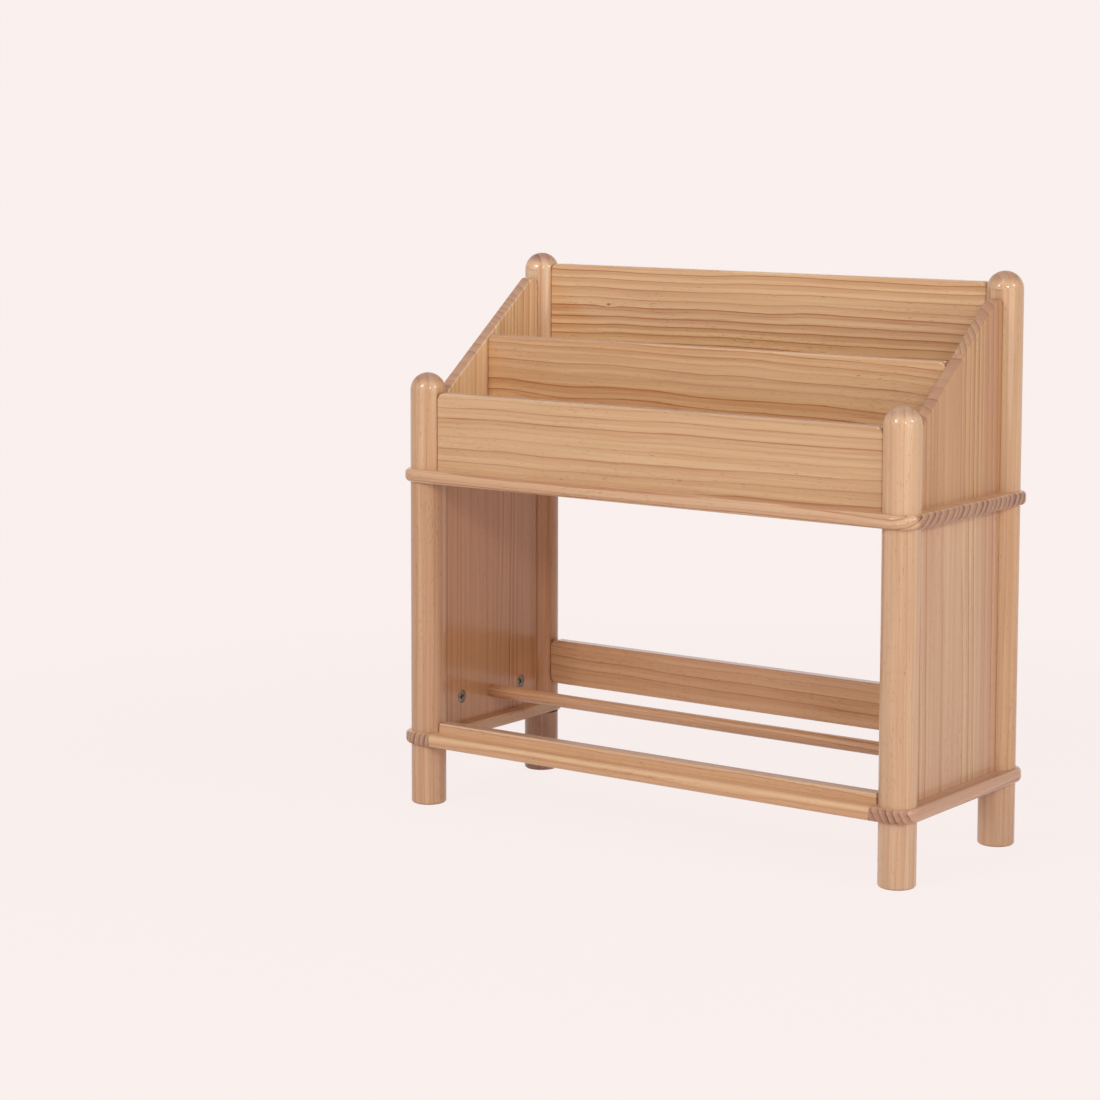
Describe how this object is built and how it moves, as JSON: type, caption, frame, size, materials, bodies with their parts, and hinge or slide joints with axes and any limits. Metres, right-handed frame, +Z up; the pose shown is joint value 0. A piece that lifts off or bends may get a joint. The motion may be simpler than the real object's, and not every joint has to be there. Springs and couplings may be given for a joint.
{
  "type": "bookshelf",
  "caption": "Two-level wooden bookcase for children: round posts with domed tops, sloping upper sides, upright boards of rising height above a shelf, and an open lower bay with a rod.",
  "frame": {"origin": "on the floor, midway between the four posts", "axes": "+Z up, +X along the long side (to the right seen from the front), -Y towards the open front"},
  "size_m": [0.666, 0.27, 0.6235],
  "materials": {
    "beech_dowels": "raw beech",
    "brass_inserts": "turned",
    "pine_boards": "edge-glued pine, grain lengthways, clear satin lacquer",
    "pine_plates": "edge-glued pine with rounded rims, clear satin lacquer",
    "pine_posts": "turned pine, straight grain, clear satin lacquer",
    "pine_rod": "turned pine, clear satin lacquer",
    "pine_sides": "edge-glued pine, grain upright, clear satin lacquer",
    "zinc_plated_steel": "zinc plated, dull"
  },
  "bodies": {
    "root": {"back_board": "pine_boards", "back_board_cam_bolts": "zinc_plated_steel", "back_board_cams": "zinc_plated_steel", "back_board_dowels": "beech_dowels", "base_front_strip": "pine_plates", "base_inserts": "brass_inserts", "base_side_left": "pine_plates", "base_side_right": "pine_plates", "base_strip_dowels": "beech_dowels", "base_studs": "zinc_plated_steel", "divider": "pine_boards", "divider_cam_bolts": "zinc_plated_steel", "divider_cams": "zinc_plated_steel", "divider_dowels": "beech_dowels", "foot_front_left": "pine_posts", "foot_front_right": "pine_posts", "foot_rear_left": "pine_posts", "foot_rear_right": "pine_posts", "front_board": "pine_boards", "front_board_cam_bolts": "zinc_plated_steel", "front_board_cams": "zinc_plated_steel", "front_board_dowels": "beech_dowels", "lip": "pine_boards", "lip_dowels": "beech_dowels", "lower_post_front_left": "pine_posts", "lower_post_front_right": "pine_posts", "lower_post_rear_left": "pine_posts", "lower_post_rear_right": "pine_posts", "lower_side_dowels": "beech_dowels", "lower_side_left": "pine_sides", "lower_side_left_cam_bolts": "zinc_plated_steel", "lower_side_left_cams": "zinc_plated_steel", "lower_side_right": "pine_sides", "lower_side_right_cam_bolts": "zinc_plated_steel", "lower_side_right_cams": "zinc_plated_steel", "rear_rail": "pine_boards", "rear_rail_dowels": "beech_dowels", "rod": "pine_rod", "shelf": "pine_plates", "shelf_inserts": "brass_inserts", "shelf_screws": "zinc_plated_steel", "shelf_studs": "zinc_plated_steel", "upper_post_front_left": "pine_posts", "upper_post_front_right": "pine_posts", "upper_post_rear_left": "pine_posts", "upper_post_rear_right": "pine_posts", "upper_side_dowels": "beech_dowels", "upper_side_left": "pine_sides", "upper_side_left_cam_bolts": "zinc_plated_steel", "upper_side_left_cams": "zinc_plated_steel", "upper_side_right": "pine_sides", "upper_side_right_cam_bolts": "zinc_plated_steel", "upper_side_right_cams": "zinc_plated_steel"}
  },
  "joints": []
}
